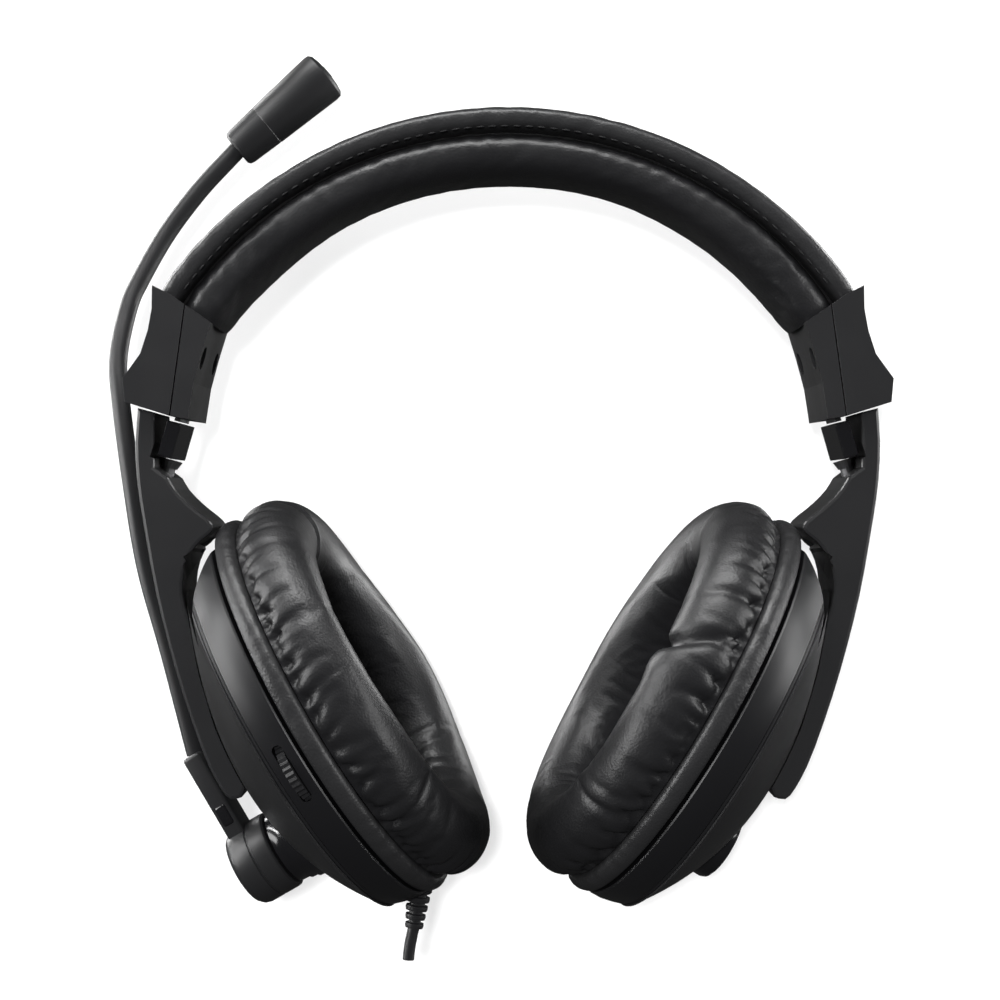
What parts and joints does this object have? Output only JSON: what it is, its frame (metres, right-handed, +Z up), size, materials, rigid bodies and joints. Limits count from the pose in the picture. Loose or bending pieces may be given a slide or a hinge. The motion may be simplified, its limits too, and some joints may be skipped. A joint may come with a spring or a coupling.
{
  "type": "office headset",
  "caption": "Over-ear office headset: padded headband, sliding arms that carry cushioned ear cups, a swinging microphone boom and a volume wheel.",
  "frame": {"origin": "centre of the overall bounding box, with the sliders at their shortest, the swivels centred and the boom stored upright", "axes": "+Z up towards the crown of the headband, -Y towards the wearer's front, -X towards the cup with the microphone, which is the wearer's right if the wearer faces -Y"},
  "size_m": [0.1904, 0.086, 0.2254],
  "materials": {
    "leatherette": "fine-grained soft black leatherette over foam",
    "satin_plastic": "satin black moulded plastic",
    "gloss_plastic": "glossy black moulded plastic",
    "soft_black_plastic": "soft-touch black plastic and cable sheath",
    "steel": "plain steel",
    "magnet": "plated magnet and yoke",
    "cloth": "black acoustic cloth and film",
    "board": "green circuit board"
  },
  "bodies": {
    "headband": {"headband_top_cover": "leatherette", "headband_spring": "steel", "headband_pad": "leatherette", "slider_housing_outer_left": "satin_plastic", "slider_housing_inner_left": "satin_plastic", "housing_screw_1_left": "steel", "housing_screw_2_left": "steel", "slider_housing_outer_right": "satin_plastic", "slider_housing_inner_right": "satin_plastic", "housing_screw_1_right": "steel", "housing_screw_2_right": "steel"},
    "slider_left": {"slider_strip_left": "steel", "slider_end_block_left": "gloss_plastic", "swivel_pin_left": "steel"},
    "cup_left": {"arm_left": "satin_plastic", "rear_shell_left": "satin_plastic", "arm_screw_1_left": "steel", "arm_screw_2_left": "steel", "front_shell_left": "gloss_plastic", "driver_baffle_left": "soft_black_plastic", "driver_basket_left": "soft_black_plastic", "driver_diaphragm_left": "cloth", "driver_magnet_left": "magnet", "ear_cushion_left": "leatherette", "ear_scrim_left": "cloth", "volume_control": "steel", "circuit_board": "board", "cable_strain_relief": "soft_black_plastic", "cable": "soft_black_plastic"},
    "slider_right": {"slider_strip_right": "steel", "slider_end_block_right": "gloss_plastic", "swivel_pin_right": "steel"},
    "cup_right": {"arm_right": "satin_plastic", "rear_shell_right": "satin_plastic", "arm_screw_1_right": "steel", "arm_screw_2_right": "steel", "front_shell_right": "gloss_plastic", "driver_baffle_right": "soft_black_plastic", "driver_basket_right": "soft_black_plastic", "driver_diaphragm_right": "cloth", "driver_magnet_right": "magnet", "ear_cushion_right": "leatherette", "ear_scrim_right": "cloth", "blank_pivot_cap": "gloss_plastic"},
    "mic_boom": {"mic_boom_hub": "satin_plastic", "mic_hub_retainer": "steel", "mic_boom": "soft_black_plastic", "mic_capsule": "soft_black_plastic"},
    "volume_wheel": {"volume_wheel": "soft_black_plastic"}
  },
  "joints": [
    {"name": "slide_left", "type": "slide", "parent": "headband", "child": "slider_left", "axis": [-0.2756, 0, -0.9613], "range_m": [0, 0.026]},
    {"name": "slide_right", "type": "slide", "parent": "headband", "child": "slider_right", "axis": [0.2756, 0, -0.9613], "range_m": [0, 0.026]},
    {"name": "swivel_left", "type": "hinge", "parent": "slider_left", "child": "cup_left", "pos_m": [-0.07684, 0.00018, 0.01397], "axis": [-0.2756, 0, -0.9613], "range_deg": [-5, 5]},
    {"name": "swivel_right", "type": "hinge", "parent": "slider_right", "child": "cup_right", "pos_m": [0.08476, 0.00018, 0.01397], "axis": [0.2756, 0, -0.9613], "range_deg": [-5, 5]},
    {"name": "boom_swing", "type": "hinge", "parent": "cup_left", "child": "mic_boom", "pos_m": [-0.04534, 0.00228, -0.08227], "axis": [0.8569, -0.1045, 0.5048], "range_deg": [0, 135]},
    {"name": "volume_turn", "type": "hinge", "parent": "cup_left", "child": "volume_wheel", "pos_m": [-0.04396, -0.03476, -0.06137], "axis": [-0.8569, 0.1045, -0.5048], "range_deg": [-135, 135]}
  ]
}
